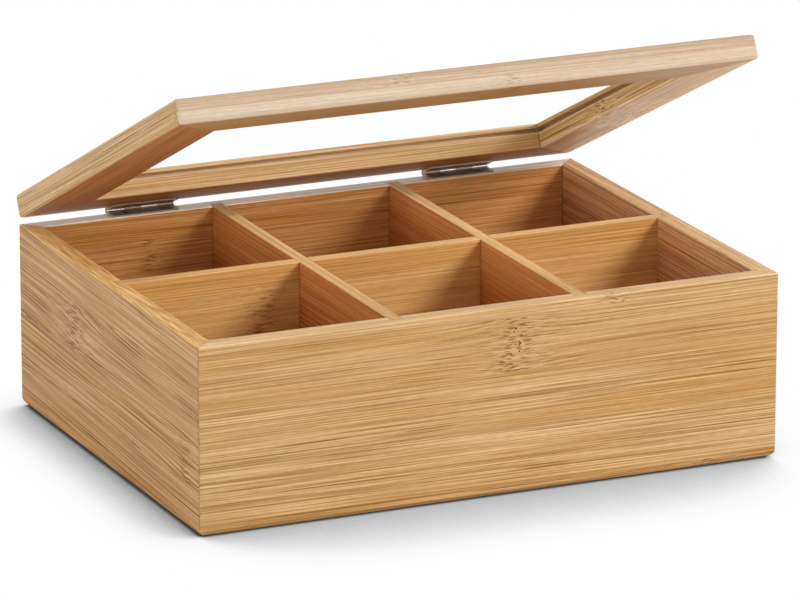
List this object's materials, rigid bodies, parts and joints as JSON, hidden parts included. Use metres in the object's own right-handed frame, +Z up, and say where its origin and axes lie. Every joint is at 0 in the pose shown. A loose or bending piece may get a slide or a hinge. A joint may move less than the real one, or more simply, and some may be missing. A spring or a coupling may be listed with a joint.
{
  "type": "tea bag organizer box",
  "caption": "Low mitred bamboo box with a grid of compartments for wrapped tea bags and a hinged lid that frames a clear window.",
  "frame": {"origin": "middle of the closed box's footprint, hinge barrels included, at the level it stands on", "axes": "+X to the right along the front, +Y to the hinged back, +Z up"},
  "size_m": [0.24, 0.1858, 0.1623],
  "materials": {
    "box_bamboo": "satin lacquered laminated bamboo, light honey",
    "divider_bamboo": "satin lacquered laminated bamboo",
    "lid_bamboo": "satin lacquered laminated bamboo",
    "hinge_steel": "plated, dulled to a soft bronze grey",
    "screw_steel": "plated, slightly dulled",
    "window_glass": "clear, polished"
  },
  "bodies": {
    "box": {"front_wall": "box_bamboo", "rear_wall": "box_bamboo", "left_wall": "box_bamboo", "right_wall": "box_bamboo", "bottom_panel": "divider_bamboo", "divider_left": "divider_bamboo", "divider_right": "divider_bamboo", "cross_divider": "divider_bamboo", "hinge_left_box_leaf": "hinge_steel", "hinge_left_pin": "hinge_steel", "hinge_right_box_leaf": "hinge_steel", "hinge_right_pin": "hinge_steel", "box_hinge_screws": "screw_steel"},
    "lid": {"lid_front_rail": "lid_bamboo", "lid_rear_rail": "lid_bamboo", "lid_left_stile": "lid_bamboo", "lid_right_stile": "lid_bamboo", "lid_window": "window_glass", "hinge_left_lid_leaf": "hinge_steel", "hinge_right_lid_leaf": "hinge_steel", "lid_hinge_screws": "screw_steel"}
  },
  "joints": [
    {"name": "lid_hinge", "type": "hinge", "parent": "box", "child": "lid", "pos_m": [0, 0.09108, 0.07465], "axis": [-1, 0, 0], "range_deg": [-25.5, 79.5]}
  ]
}
